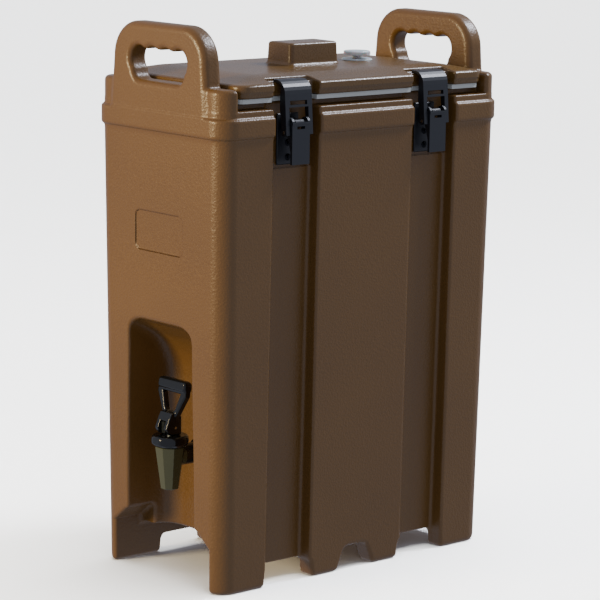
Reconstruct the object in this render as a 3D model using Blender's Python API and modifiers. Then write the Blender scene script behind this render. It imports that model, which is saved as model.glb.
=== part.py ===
"""Insulated beverage carrier: a double-wall moulded body with a foam core and an inner tank,
a lift-off insulated lid with a vent, four over-centre latches and a lever-handle tap.

Axes: X across the carrier, Y along it with the tap at the -Y end, Z up.
The origin is at the middle of the carrier, on the surface that it stands on.
Lengths below are in millimetres; the helpers turn them into metres.
"""

import math

import bmesh
import bpy
from mathutils import Matrix, Vector

MM = 0.001
GAP = 0.3

# Body walls: half widths (X, Y), with a draft from the rim down to the feet.
WALL_TOP = (111.2, 205.7)
WALL_BOTTOM = (105.4, 199.9)
WALL_TOP_Z = 503.0
WALL_SLOPE = (WALL_TOP[1] - WALL_BOTTOM[1]) / WALL_TOP_Z
WALL_CORNER = 21.5
SKIN = 4.0
LINER = 3.0

# The band below the rim, the collar above it, and the raised end blocks.
BAND_HALF = (114.5, 209.0)
BAND_Z = (503.0, 525.0)
COLLAR_HALF = (111.0, 205.5)
RIM_Z = 533.0
END_BLOCK_Y = 183.0
END_BLOCK_TOP = 556.0

# Moulded handles at both ends.
HANDLE_Y = (183.0, 208.0)
HANDLE_BASE_HALF = 83.5
HANDLE_TOP_HALF = 77.5
HANDLE_TOP = 620.0
HANDLE_CORNER = 36.0
HANDLE_EDGE = 7.0
WINDOW_HALF = 47.0
WINDOW_FLOOR_HALF = 43.0
WINDOW_Z = (556.0, 591.0)
WINDOW_CORNER = 13.0
WINDOW_FLOOR_CORNER = 8.0
FINGER_PITCH = 23.0
FINGER_DEPTH = 3.0

# Underside: the channel between the skids and the notches between the feet.
CHANNEL_HALF = 84.0
CHANNEL_TOP = 43.5
BASE_TOP = 49.0
FOOT_GAP_Y = (66.0, 134.0)
FOOT_GAP_TOP = 21.0
MIDDLE_GAP_HALF = 22.0
MIDDLE_GAP_TOP = 27.0

# Latch grooves in the long sides.
GROOVE_Y = 102.0
GROOVE_HALF = 32.0
GROOVE_FLOOR_TOP = 96.0
GROOVE_FLOOR_BOTTOM = 88.0
POCKET_FLOOR = 92.5
POCKET_Z = 466.5

# Tank inside the body: full length above, shorter below, where the tap recess takes its place.
TANK_HALF = 80.0
TANK_Y = (-165.0, 168.0)
TANK_LOWER_Y = -112.0
TANK_STEP_Z = 322.0
TANK_FLOOR = 108.0
TANK_CORNER = 15.0
FOAM_TOP = 529.0

# Ports that the foam is poured through, one under the body and one under the lid.
PORT_R = 12.0
BODY_PORT_Y = 60.0
LID_PORT_Y = -60.0

# Tap recess in the front wall.
WELL_HALF_TOP = 57.0
WELL_HALF_BOTTOM = 62.5
WELL_TOP = 297.0
WELL_CORNER = 27.0
WELL_BACK = -140.0
WELL_BACK_CORNER = 35.0
WELL_BACK_TOP = 250.0
FLARE_Y = -163.0
FLARE_Z = (50.0, 68.0)
LABEL_HALF = 42.0
LABEL_Z = (369.0, 413.5)
LABEL_DEPTH = 1.2

# Lid.
LID_HALF = (109.5, 179.5)
LID_Z = (545.3, 560.0)
LID_CORNER = 12.0
PLATEAU_BASE = (107.0, 176.0)
PLATEAU_HALF = (86.0, 148.0)
PLATEAU_TOP = 567.5
GRIP_HALF = (22.0, 36.0)
GRIP_TOP = 592.5
LID_NOTCH_FLOOR = 97.5
LEDGE_X = 90.0
LID_SPACE_HALF = (86.0, 165.0)
PLUG_HALF = 78.5
PLUG_Y = (-163.5, 166.5)
PLUG_BOTTOM = 531.0
LIP_HALF = 95.0
LIP_TOP = 539.8
GASKET_HALF = (105.5, 179.0)
GASKET_NOTCH_FLOOR = 95.5

# Vent in the lid.
VENT_Y = 83.0
VENT_HOLE = 8.0
VENT_CAP_R = 15.5
VENT_CAP_Z = (573.5, 578.0)

# Tap: the valve stands on a vertical axis in the recess, fed through a level shank.
TAP_Y = -187.0
SPOUT_Z = (101.0, 150.0)
SPOUT_FLATS = (19.0, 32.0)
SHANK_Z = 137.5
SHANK_R = 11.0
SHANK_END = -98.0
BONNET_R = 21.5
BONNET_Z = (150.3, 163.0)
TAP_PIN_Z = 172.0
CAM_RISE = 3.4
TAP_SWING = math.radians(75)
TAP_LEAN = math.radians(8)

# Latches, in a frame whose X points out of the carrier and whose Y is 0 on the groove's middle.
PIVOT = (112.0, 517.0)
STRAP_PIN_REACH = 10.0
STRAP_PIN_ANGLE = math.radians(-97)
STRAP_PIN = (
    PIVOT[0] + STRAP_PIN_REACH * math.cos(STRAP_PIN_ANGLE),
    PIVOT[1] + STRAP_PIN_REACH * math.sin(STRAP_PIN_ANGLE),
)
LATCH_PIN_R = 1.8
LEVER_HALF = 12.5
LEVER_FACE = 117.5
LEVER_FOOT = 472.0
STRAP_HALF = 19.0
STRAP_WINDOW_HALF = 13.5
STRAP_WINDOW_TOP = 534.0
STRAP_THICK = 3.0
STRAP_FACE = 112.0
STRAP_DEPTH = 8.0
FLANGE_Z = (560.3, 563.3)
FLANGE_TIP = 92.0
FLANGE_BEND = 15.0
RIVET_Z = (478.0, 494.0)
RIVET_R = 2.0
KNUCKLE_R = 6.2
LUG_R = 3.6
KNUCKLE_END = 9.0
PLATE_THICK = 2.6


def clear_scene():
    for obj in list(bpy.data.objects):
        bpy.data.objects.remove(obj, do_unlink=True)


def new_collection(name):
    collection = bpy.data.collections.new(name)
    bpy.context.scene.collection.children.link(collection)
    return collection


def new_material(name, colour, roughness, metallic=0.0):
    material = bpy.data.materials.new(name)
    material.use_nodes = True
    shader = material.node_tree.nodes["Principled BSDF"]
    shader.inputs["Base Color"].default_value = (*colour, 1.0)
    shader.inputs["Roughness"].default_value = roughness
    shader.inputs["Metallic"].default_value = metallic
    return material


clear_scene()
PARTS = new_collection("insulated_beverage_carrier")
CUTTERS = new_collection("cutters")

BROWN = new_material("brown_polyethylene", (0.17, 0.085, 0.035), 0.45)
FOAM = new_material("urethane_foam", (0.75, 0.66, 0.42), 0.95)
BLACK = new_material("black_nylon", (0.02, 0.022, 0.026), 0.35)
TAP_BLACK = new_material("black_tap_plastic", (0.015, 0.017, 0.018), 0.22)
SEAL_GREY = new_material("grey_seal_rubber", (0.40, 0.41, 0.38), 0.6)
NATURAL = new_material("natural_plastic", (0.74, 0.78, 0.76), 0.4)
SILICONE = new_material("clear_silicone", (0.80, 0.80, 0.78), 0.5)
STEEL = new_material("stainless_steel", (0.60, 0.60, 0.61), 0.3, 1.0)


# ---- helpers: making shapes ----


def add_object(name, mesh, material):
    obj = bpy.data.objects.new(name, mesh)
    PARTS.objects.link(obj)
    mesh.materials.clear()
    mesh.materials.append(material)
    mesh.shade_smooth()
    mesh.set_sharp_from_angle(angle=math.radians(32))
    return obj


def from_bmesh(name, bm, material):
    mesh = bpy.data.meshes.new(name)
    bm.to_mesh(mesh)
    bm.free()
    return add_object(name, mesh, material)


def block_bmesh(low, high):
    bm = bmesh.new()
    bmesh.ops.create_cube(bm, size=1.0)
    low = Vector(low) * MM
    high = Vector(high) * MM
    middle = (low + high) / 2
    size = high - low
    for vert in bm.verts:
        vert.co = middle + Vector([vert.co[i] * size[i] for i in range(3)])
    return bm


def round_edges(bm, wanted, radius, segments):
    edges = [edge for edge in bm.edges if wanted(edge)]
    bmesh.ops.bevel(
        bm,
        geom=edges,
        offset=radius * MM,
        segments=segments,
        profile=0.5,
        affect="EDGES",
        clamp_overlap=True,
    )


def is_upright(edge):
    along = edge.verts[1].co - edge.verts[0].co
    return abs(along.z) > 0.9 * along.length


def is_level_at(z):
    return lambda edge: all(abs(vert.co.z - z * MM) < 1e-5 for vert in edge.verts)


def block(name, low, high, material, corner=0.0, corner_segments=4):
    """A box between two corners, with its four upright edges rounded."""
    bm = block_bmesh(low, high)
    if corner:
        round_edges(bm, is_upright, corner, corner_segments)
    return from_bmesh(name, bm, material)


def tapered_bmesh(half_top, half_bottom, z_bottom, z_top, corner, corner_segments):
    """A box whose four sides lean, with its upright edges rounded."""
    bm = block_bmesh((-1, -1, z_bottom), (1, 1, z_top))
    middle_z = (z_bottom + z_top) / 2 * MM
    for vert in bm.verts:
        half = half_top if vert.co.z > middle_z else half_bottom
        vert.co.x *= half[0]
        vert.co.y *= half[1]
    round_edges(bm, is_upright, corner, corner_segments)
    return bm


def rounded(corners, steps=4):
    """The outline through (u, v, radius) corners, each turned into an arc of that radius."""
    points = []
    for i, (u, v, radius) in enumerate(corners):
        here = Vector((u, v))
        before = Vector(corners[i - 1][:2]) - here
        after = Vector(corners[(i + 1) % len(corners)][:2]) - here
        if not radius:
            points.append((u, v))
            continue
        half_angle = before.angle(after) / 2
        reach = radius / math.tan(half_angle)
        start = here + before.normalized() * reach
        bisector = (before.normalized() + after.normalized()).normalized()
        centre = here + bisector * (radius / math.sin(half_angle))
        spoke = start - centre
        end_spoke = here + after.normalized() * reach - centre
        turn = spoke.angle_signed(end_spoke)
        for k in range(steps + 1):
            angle = -turn * k / steps
            turned_spoke = Matrix.Rotation(angle, 2) @ spoke
            points.append(tuple(centre + turned_spoke))
    return points


PLANES = {
    "XZ": Matrix(((1, 0, 0, 0), (0, 0, 1, 0), (0, 1, 0, 0), (0, 0, 0, 1))),
    "YZ": Matrix(((0, 0, 1, 0), (1, 0, 0, 0), (0, 1, 0, 0), (0, 0, 0, 1))),
    "XY": Matrix.Identity(4),
}


def extruded(name, loops, plane, low, high, material):
    """A flat outline, given in a plane, drawn out between two levels of the third axis.
    Loops after the first are holes."""
    curve = bpy.data.curves.new(name, "CURVE")
    curve.dimensions = "2D"
    curve.fill_mode = "BOTH"
    curve.extrude = (high - low) / 2 * MM
    for loop in loops:
        spline = curve.splines.new("POLY")
        spline.points.add(len(loop) - 1)
        for point, (u, v) in zip(spline.points, loop):
            point.co = (u * MM, v * MM, 0, 1)
        spline.use_cyclic_u = True
    holder = bpy.data.objects.new(name + "_outline", curve)
    PARTS.objects.link(holder)
    bpy.context.view_layer.update()
    mesh = bpy.data.meshes.new_from_object(holder.evaluated_get(bpy.context.evaluated_depsgraph_get()))
    bpy.data.objects.remove(holder, do_unlink=True)
    bm = bmesh.new()
    bm.from_mesh(mesh)
    bpy.data.meshes.remove(mesh)
    bmesh.ops.remove_doubles(bm, verts=bm.verts, dist=1e-6)
    bmesh.ops.dissolve_limit(bm, angle_limit=math.radians(0.5), verts=bm.verts, edges=bm.edges)
    bmesh.ops.translate(bm, verts=bm.verts, vec=(0, 0, (low + high) / 2 * MM))
    bmesh.ops.transform(bm, matrix=PLANES[plane], verts=bm.verts)
    bmesh.ops.recalc_face_normals(bm, faces=bm.faces)
    return from_bmesh(name, bm, material)


def turned(name, profile, material, at=(0, 0, 0), axis="Z", steps=24):
    """A solid of revolution. The profile holds (radius, height) points, from the top down."""
    bm = bmesh.new()
    verts = [bm.verts.new((radius * MM, 0, height * MM)) for radius, height in profile]
    for first, second in zip(verts, verts[1:]):
        bm.edges.new((first, second))
    if profile[0][0] or profile[-1][0]:
        bm.edges.new((verts[-1], verts[0]))
    obj = from_bmesh(name, bm, material)
    screw = obj.modifiers.new("turn", "SCREW")
    screw.axis = "Z"
    screw.steps = steps
    screw.render_steps = steps
    screw.use_merge_vertices = True
    screw.merge_threshold = 1e-6
    screw.use_smooth_shade = True
    obj.location = Vector(at) * MM
    if axis == "Y":
        obj.rotation_euler = (math.radians(-90), 0, 0)
    if axis == "X":
        obj.rotation_euler = (0, math.radians(90), 0)
    return obj


def rod(name, radius, low, high, centre, axis, material, segments=24):
    """A plain round bar between two levels of an axis. The centre gives the other two coordinates."""
    bm = bmesh.new()
    bmesh.ops.create_cone(
        bm,
        cap_ends=True,
        segments=segments,
        radius1=radius * MM,
        radius2=radius * MM,
        depth=(high - low) * MM,
    )
    middle = (low + high) / 2
    if axis == "X":
        turn = Matrix.Rotation(math.radians(90), 4, "Y")
        place = (middle, centre[0], centre[1])
    elif axis == "Y":
        turn = Matrix.Rotation(math.radians(90), 4, "X")
        place = (centre[0], middle, centre[1])
    else:
        turn = Matrix.Identity(4)
        place = (centre[0], centre[1], middle)
    bmesh.ops.transform(bm, matrix=Matrix.Translation(Vector(place) * MM) @ turn, verts=bm.verts)
    return from_bmesh(name, bm, material)


# ---- helpers: joining, cutting and placing ----


def boolean(target, other, operation):
    modifier = target.modifiers.new(operation.lower() + "_" + other.name, "BOOLEAN")
    modifier.operation = operation
    modifier.object = other
    other.hide_render = True
    other.display_type = "WIRE"
    if other.name in PARTS.objects:
        PARTS.objects.unlink(other)
        CUTTERS.objects.link(other)
    return target


def join(target, *others):
    for other in others:
        boolean(target, other, "UNION")
    return target


def cut(target, *others):
    for other in others:
        boolean(target, other, "DIFFERENCE")
    return target


def keep_common(target, *others):
    for other in others:
        boolean(target, other, "INTERSECT")
    return target


def bevel_modifier(obj, width, segments, angle=50):
    bevel = obj.modifiers.new("edge", "BEVEL")
    bevel.width = width * MM
    bevel.segments = segments
    bevel.limit_method = "ANGLE"
    bevel.angle_limit = math.radians(angle)
    bevel.use_clamp_overlap = True
    return obj


def set_origin(obj, point):
    """Moves the object's origin to a point of its parent's space, leaving the shape where it is."""
    shift = Vector(point) * MM - obj.location
    obj.data.transform(Matrix.Translation(-shift))
    obj.location += shift
    return obj


def settle(obj):
    """Applies an object's modifiers, so that copies can share its finished mesh. Its cutters go."""
    bpy.context.view_layer.update()
    mesh = bpy.data.meshes.new_from_object(obj.evaluated_get(bpy.context.evaluated_depsgraph_get()))
    cutters = [modifier.object for modifier in obj.modifiers if modifier.type == "BOOLEAN"]
    obj.modifiers.clear()
    obj.data = mesh
    for cutter in cutters:
        bpy.data.objects.remove(cutter, do_unlink=True)
    return obj


# ---- shapes that both the body and its foam need ----


def well_shape(name, grow, material):
    """The tap recess, or with grow the space that its wall takes."""
    front = rounded(
        [
            (-WELL_HALF_BOTTOM - grow, -10, 0),
            (-WELL_HALF_BOTTOM - grow, 100, 0),
            (-WELL_HALF_TOP - grow, 250, 0),
            (-WELL_HALF_TOP - grow, WELL_TOP + grow, WELL_CORNER + grow),
            (WELL_HALF_TOP + grow, WELL_TOP + grow, WELL_CORNER + grow),
            (WELL_HALF_TOP + grow, 250, 0),
            (WELL_HALF_BOTTOM + grow, 100, 0),
            (WELL_HALF_BOTTOM + grow, -10, 0),
        ],
        steps=6,
    )
    plan_half = WELL_HALF_BOTTOM + grow + 5
    corner_half = WELL_HALF_BOTTOM + grow
    back = WELL_BACK + grow
    plan = rounded(
        [
            (-plan_half, -240, 0),
            (plan_half, -240, 0),
            (plan_half, -190, 0),
            (corner_half, back, WELL_BACK_CORNER + grow),
            (-corner_half, back, WELL_BACK_CORNER + grow),
            (-plan_half, -190, 0),
        ],
        steps=6,
    )
    roof_rise = (WELL_TOP - WELL_BACK_TOP) / (WELL_BACK + 205.0)
    roof_back = WELL_BACK_TOP + grow
    side = rounded(
        [
            (-240, -10, 0),
            (back, -10, 0),
            (back, roof_back, WELL_BACK_CORNER - 5 + grow),
            (-240, roof_back - roof_rise * (-240 - back), 0),
        ],
        steps=6,
    )
    shape = extruded(name, [front], "XZ", -238, back + 5, material)
    plan_piece = extruded(name + "_plan", [plan], "XY", -12, WELL_TOP + 40, material)
    side_piece = extruded(name + "_side", [side], "YZ", -90, 90, material)
    return keep_common(shape, plan_piece, side_piece)


def flare_shape(name, grow, material):
    """The wider mouth below the recess, where it opens between the skids."""
    outline = [
        (-CHANNEL_HALF - grow, CHANNEL_TOP - 5),
        (CHANNEL_HALF + grow, CHANNEL_TOP - 5),
        (CHANNEL_HALF + grow, FLARE_Z[0] + grow),
        (WELL_HALF_BOTTOM + grow, FLARE_Z[1] + grow),
        (-WELL_HALF_BOTTOM - grow, FLARE_Z[1] + grow),
        (-CHANNEL_HALF - grow, FLARE_Z[0] + grow),
    ]
    return extruded(name, [outline], "XZ", -238, FLARE_Y + grow, material)


def tank_shape(name, grow, material):
    """The inside of the tank, or with grow the outside of its liner. It is open at the rim."""
    corner = TANK_CORNER + grow
    outline = [
        (TANK_Y[0] - grow, 600),
        (TANK_Y[0] - grow, TANK_STEP_Z - grow),
        (TANK_LOWER_Y - grow, TANK_STEP_Z - grow),
        (TANK_LOWER_Y - grow, TANK_FLOOR - grow),
        (TANK_Y[1] + grow, TANK_FLOOR - grow),
        (TANK_Y[1] + grow, 600),
    ]
    tank = extruded(name, [outline], "YZ", -TANK_HALF - grow, TANK_HALF + grow, material)
    bm = bmesh.new()
    bm.from_mesh(tank.data)
    round_edges(bm, lambda edge: is_upright(edge) and edge.calc_face_angle(0) > 1, corner, 4)
    round_edges(bm, is_level_at(TANK_FLOOR - grow), corner * 0.8, 3)
    bm.to_mesh(tank.data)
    bm.free()
    return tank


def groove_shape(name, side, y, grow, material):
    """One latch groove in a long side. Its floor leans in towards the feet, and a pocket for the latch is
    sunk into its top."""
    lean = (GROOVE_FLOOR_TOP - GROOVE_FLOOR_BOTTOM) / 500.0
    low, high, outside = -10.0, 600.0, 130.0
    step_z = POCKET_Z - grow
    pocket = POCKET_FLOOR - grow
    floor = GROOVE_FLOOR_BOTTOM - grow
    outline = [
        (outside, low),
        (outside, high),
        (pocket, high),
        (pocket, step_z),
        (floor + lean * step_z, step_z),
        (floor + lean * low, low),
    ]
    outline = [(side * x, z) for x, z in outline]
    groove = extruded(name, [outline], "XZ", y - GROOVE_HALF - grow, y + GROOVE_HALF + grow, material)
    if not grow:
        bm = bmesh.new()
        bm.from_mesh(groove.data)
        round_edges(bm, lambda edge: is_upright(edge) and abs(edge.verts[0].co.x) < 0.12, 3, 2)
        bm.to_mesh(groove.data)
        bm.free()
    return groove


def foam_space(name, gap, material):
    """The space between the outer skin and the liner. With a gap it is the foam that fills it."""
    inset = SKIN + gap
    bm = tapered_bmesh(
        (WALL_TOP[0] - inset, WALL_TOP[1] - inset),
        (WALL_BOTTOM[0] - inset, WALL_BOTTOM[1] - inset),
        BASE_TOP + gap,
        FOAM_TOP - gap,
        WALL_CORNER - inset,
        4,
    )
    space = from_bmesh(name, bm, material)
    cut(space, tank_shape(name + "_tank", LINER + gap, material))
    cut(space, well_shape(name + "_well", SKIN + gap, material))
    cut(space, flare_shape(name + "_flare", SKIN + gap, material))
    for side in (-1, 1):
        for y in (-GROOVE_Y, GROOVE_Y):
            place = f"{name}_{'left' if side < 0 else 'right'}_{'front' if y < 0 else 'rear'}"
            cut(space, groove_shape(place + "_groove", side, y, SKIN + gap, material))
    cut(space, rod(name + "_tube", SHANK_R + 4.5 + gap, -150, -100, (0, SHANK_Z), "Y", material, 32))
    return space


# ---- body ----


def handle(name, end):
    """A moulded handle loop on one end block, with finger grooves under its bar."""
    outer = rounded(
        [
            (-HANDLE_BASE_HALF - 3, BAND_Z[0] + 9, 0),
            (HANDLE_BASE_HALF + 3, BAND_Z[0] + 9, 0),
            (HANDLE_TOP_HALF, HANDLE_TOP, HANDLE_CORNER),
            (-HANDLE_TOP_HALF, HANDLE_TOP, HANDLE_CORNER),
        ],
        steps=7,
    )
    low, high = WINDOW_Z
    window = rounded(
        [
            (-WINDOW_HALF, high, WINDOW_CORNER),
            (-WINDOW_FLOOR_HALF, low, WINDOW_FLOOR_CORNER),
            (WINDOW_FLOOR_HALF, low, WINDOW_FLOOR_CORNER),
            (WINDOW_HALF, high, WINDOW_CORNER),
        ]
    )
    # The finger grooves replace the straight run under the bar.
    start = next(i for i, (u, v) in enumerate(window) if v > high - 0.01 and u > 0)
    grip = []
    for i in range(3, -1, -1):
        middle = (i - 1.5) * FINGER_PITCH
        for k in range(1, 6):
            share = k / 6
            across = FINGER_PITCH * (0.5 - share)
            grip.append((middle + across, high + FINGER_DEPTH * math.sin(math.pi * share)))
        if i:
            grip.append((middle - FINGER_PITCH / 2, high))
    straight_half = WINDOW_HALF - WINDOW_CORNER - 0.5
    grip = [point for point in grip if abs(point[0]) < straight_half]
    window = window[: start + 1] + grip + window[start + 1 :]
    low_y, high_y = HANDLE_Y if end > 0 else (-HANDLE_Y[1], -HANDLE_Y[0])
    loop = extruded(name, [outer, window], "XZ", low_y, high_y, BROWN)
    return bevel_modifier(loop, HANDLE_EDGE, 2, 60)


def foot_gaps():
    """The notches that part the skids into feet: one below each groove and one in the middle."""
    outlines = {
        "front": (-FOOT_GAP_Y[1], -FOOT_GAP_Y[0], FOOT_GAP_TOP, 3),
        "middle": (-MIDDLE_GAP_HALF, MIDDLE_GAP_HALF, MIDDLE_GAP_TOP, 6),
        "rear": (FOOT_GAP_Y[0], FOOT_GAP_Y[1], FOOT_GAP_TOP, 3),
    }
    for name, (low, high, top, slant) in outlines.items():
        bottom_corners = [(low - slant, -10, 0), (high + slant, -10, 0)]
        top_corners = [(high - slant, top, 5), (low + slant, top, 5)]
        outline = rounded(bottom_corners + top_corners, steps=2)
        for side in (-1, 1):
            x = sorted((side * 60, side * 125))
            tag = "left" if side < 0 else "right"
            yield extruded(f"foot_gap_{name}_{tag}", [outline], "YZ", x[0], x[1], BROWN)


def body_shell():
    bm = tapered_bmesh(WALL_TOP, WALL_BOTTOM, 0, WALL_TOP_Z + 12, WALL_CORNER, 5)
    round_edges(bm, is_level_at(0), 5, 2)
    shell = from_bmesh("body_shell", bm, BROWN)

    band_bm = tapered_bmesh(BAND_HALF, BAND_HALF, BAND_Z[0], BAND_Z[1], WALL_CORNER + 3, 5)
    round_edges(band_bm, is_level_at(BAND_Z[1]), 3.5, 2)
    round_edges(band_bm, is_level_at(BAND_Z[0]), 2, 1)
    join(shell, from_bmesh("band", band_bm, BROWN))

    collar_bm = tapered_bmesh(COLLAR_HALF, COLLAR_HALF, WALL_TOP_Z + 2, RIM_Z, WALL_CORNER, 5)
    round_edges(collar_bm, is_level_at(RIM_Z), 2, 2)
    join(shell, from_bmesh("collar", collar_bm, BROWN))
    join(shell, block("lip", (-LIP_HALF, -190, RIM_Z - 6), (LIP_HALF, 190, LIP_TOP), BROWN))

    for end in (-1, 1):
        tag = "front" if end < 0 else "rear"
        y = sorted((end * END_BLOCK_Y, end * COLLAR_HALF[1]))
        end_bm = block_bmesh((-COLLAR_HALF[0], y[0], RIM_Z - 10), (COLLAR_HALF[0], y[1], END_BLOCK_TOP))
        outer_side = [edge for edge in end_bm.edges if edge.verts[0].co.y * end > COLLAR_HALF[1] * MM - 1e-5]
        round_edges(end_bm, lambda edge: is_upright(edge) and edge in outer_side, WALL_CORNER, 5)
        round_edges(end_bm, is_level_at(END_BLOCK_TOP), 5, 2)
        join(shell, from_bmesh(f"end_block_{tag}", end_bm, BROWN))
        join(shell, handle(f"handle_{tag}", end))

    cut(shell, foam_space("foam_cavity", 0.0, BROWN))
    cut(shell, tank_shape("tank", 0.0, BROWN))
    cut(shell, well_shape("well", 0.0, BROWN))
    cut(shell, flare_shape("flare", 0.0, BROWN))
    cut(shell, block("channel", (-CHANNEL_HALF, -230, -10), (CHANNEL_HALF, 230, CHANNEL_TOP), BROWN))
    cut(shell, *foot_gaps())
    for side in (-1, 1):
        for y in (-GROOVE_Y, GROOVE_Y):
            place = f"{'left' if side < 0 else 'right'}_{'front' if y < 0 else 'rear'}"
            cut(shell, groove_shape(f"groove_{place}", side, y, 0.0, BROWN))
            x = sorted((side * (POCKET_FLOOR - 5.5), side * (POCKET_FLOOR + 5)))
            for z in RIVET_Z:
                hole = f"rivet_hole_{place}_{z:.0f}"
                cut(shell, rod(hole, RIVET_R + GAP, x[0], x[1], (y, z), "X", BROWN, 12))

    label_corners = [(-LABEL_HALF, LABEL_Z[0], 8), (LABEL_HALF, LABEL_Z[0], 8)]
    label_corners += [(LABEL_HALF, LABEL_Z[1], 8), (-LABEL_HALF, LABEL_Z[1], 8)]
    label_depth_y = -(WALL_BOTTOM[1] + WALL_SLOPE * sum(LABEL_Z) / 2 - LABEL_DEPTH)
    cut(shell, extruded("label_recess", [rounded(label_corners)], "XZ", -230, label_depth_y, BROWN))

    cut(shell, rod("shank_hole", SHANK_R + GAP, -150, -100, (0, SHANK_Z), "Y", BROWN, 32))
    cut(shell, rod("fill_port", PORT_R, CHANNEL_TOP - 5, BASE_TOP + 5, (0, BODY_PORT_Y), "Z", BROWN, 32))
    return shell


def fill_plug(name, at, wall, material):
    """A push-in plug for a foam-filling hole: a stub in the wall and a flange against its outside."""
    stub = PORT_R - GAP
    stub_profile = [(0, wall), (stub - 1, wall), (stub, wall - 1), (stub, -GAP)]
    flange_profile = [(16, -GAP), (16, -1.8), (15, -2.6), (0, -2.6)]
    return turned(name, stub_profile + flange_profile, material, at)


# ---- lid ----


def lid_notches(prefix, floor, low, high, material, half=GROOVE_HALF):
    for side in (-1, 1):
        for y in (-GROOVE_Y, GROOVE_Y):
            place = f"{prefix}_{'left' if side < 0 else 'right'}_{'front' if y < 0 else 'rear'}"
            x = sorted((side * floor, side * 130))
            yield block(place, (x[0], y - half, low), (x[1], y + half, high), material, 3, 2)


def lid_space(name, gap, material):
    """The hollow inside the lid, or with a gap its foam."""
    inset = SKIN + gap
    space = block(
        name,
        (-PLUG_HALF + inset, PLUG_Y[0] + inset, PLUG_BOTTOM + inset),
        (PLUG_HALF - inset, PLUG_Y[1] - inset, PLATEAU_TOP - inset),
        material,
        10 - gap,
    )
    wide = block(
        name + "_wide",
        (-LID_SPACE_HALF[0] + gap, -LID_SPACE_HALF[1] + gap, LID_Z[0] + inset),
        (LID_SPACE_HALF[0] - gap, LID_SPACE_HALF[1] - gap, LID_Z[1] - inset),
        material,
        8,
    )
    grip = block(
        name + "_grip",
        (-GRIP_HALF[0] + inset, -GRIP_HALF[1] + inset, LID_Z[0] + 5),
        (GRIP_HALF[0] - inset, GRIP_HALF[1] - inset, GRIP_TOP - inset),
        material,
        4,
    )
    join(space, wide, grip)
    cut(space, rod(name + "_vent", VENT_HOLE + 4 + gap, 500, 600, (0, VENT_Y), "Z", material, 32))
    return space


def lid_shell():
    bm = tapered_bmesh(LID_HALF, LID_HALF, LID_Z[0], LID_Z[1], LID_CORNER, 4)
    round_edges(bm, is_level_at(LID_Z[1]), 3, 2)
    round_edges(bm, is_level_at(LID_Z[0]), 2, 1)
    lid = from_bmesh("lid_shell", bm, BROWN)
    plateau_bm = tapered_bmesh(PLATEAU_HALF, PLATEAU_BASE, LID_Z[1] - 1.5, PLATEAU_TOP, 14, 4)
    join(lid, from_bmesh("plateau", plateau_bm, BROWN))

    foot = (GRIP_HALF[0] + 4, GRIP_HALF[1] + 4)
    foot_bm = tapered_bmesh(GRIP_HALF, foot, PLATEAU_TOP - 1, PLATEAU_TOP + 4, 5, 3)
    join(lid, from_bmesh("grip_foot", foot_bm, BROWN))
    grip_bm = tapered_bmesh(
        (GRIP_HALF[0] - 1, GRIP_HALF[1] - 1), GRIP_HALF, PLATEAU_TOP - 1, GRIP_TOP, 5, 3
    )
    round_edges(grip_bm, is_level_at(GRIP_TOP), 3, 2)
    join(lid, from_bmesh("grip", grip_bm, BROWN))

    plug_low = (-PLUG_HALF, PLUG_Y[0], PLUG_BOTTOM)
    plug = block("plug", plug_low, (PLUG_HALF, PLUG_Y[1], LID_Z[0] + 5), BROWN, TANK_CORNER - 1)
    join(lid, plug)

    cut(lid, lid_space("lid_cavity", 0.0, BROWN))
    cut(lid, *lid_notches("lid_notch", LID_NOTCH_FLOOR, 500, 600, BROWN))
    cut(lid, *lid_notches("lid_ledge", LEDGE_X, LID_Z[1], 600, BROWN, GROOVE_HALF - 0.5))
    cut(lid, rod("vent_bore", VENT_HOLE, 500, 600, (0, VENT_Y), "Z", BROWN, 32))
    port_z = (PLUG_BOTTOM - 5, PLUG_BOTTOM + SKIN + 3)
    cut(lid, rod("lid_fill_port", PORT_R, port_z[0], port_z[1], (0, LID_PORT_Y), "Z", BROWN, 32))
    return lid


def lid_gasket():
    gasket = block(
        "lid_gasket",
        (-GASKET_HALF[0], -GASKET_HALF[1], LIP_TOP + GAP),
        (GASKET_HALF[0], GASKET_HALF[1], LID_Z[0] - GAP),
        SEAL_GREY,
        LID_CORNER - 2,
    )
    inner_half = PLUG_HALF + 0.5
    inside = block(
        "gasket_hole",
        (-inner_half, PLUG_Y[0] - 0.5, 500),
        (inner_half, PLUG_Y[1] + 0.5, 600),
        SEAL_GREY,
        TANK_CORNER,
    )
    cut(gasket, inside)
    cut(gasket, *lid_notches("gasket_notch", GASKET_NOTCH_FLOOR, 500, 600, SEAL_GREY))
    return gasket


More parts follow.
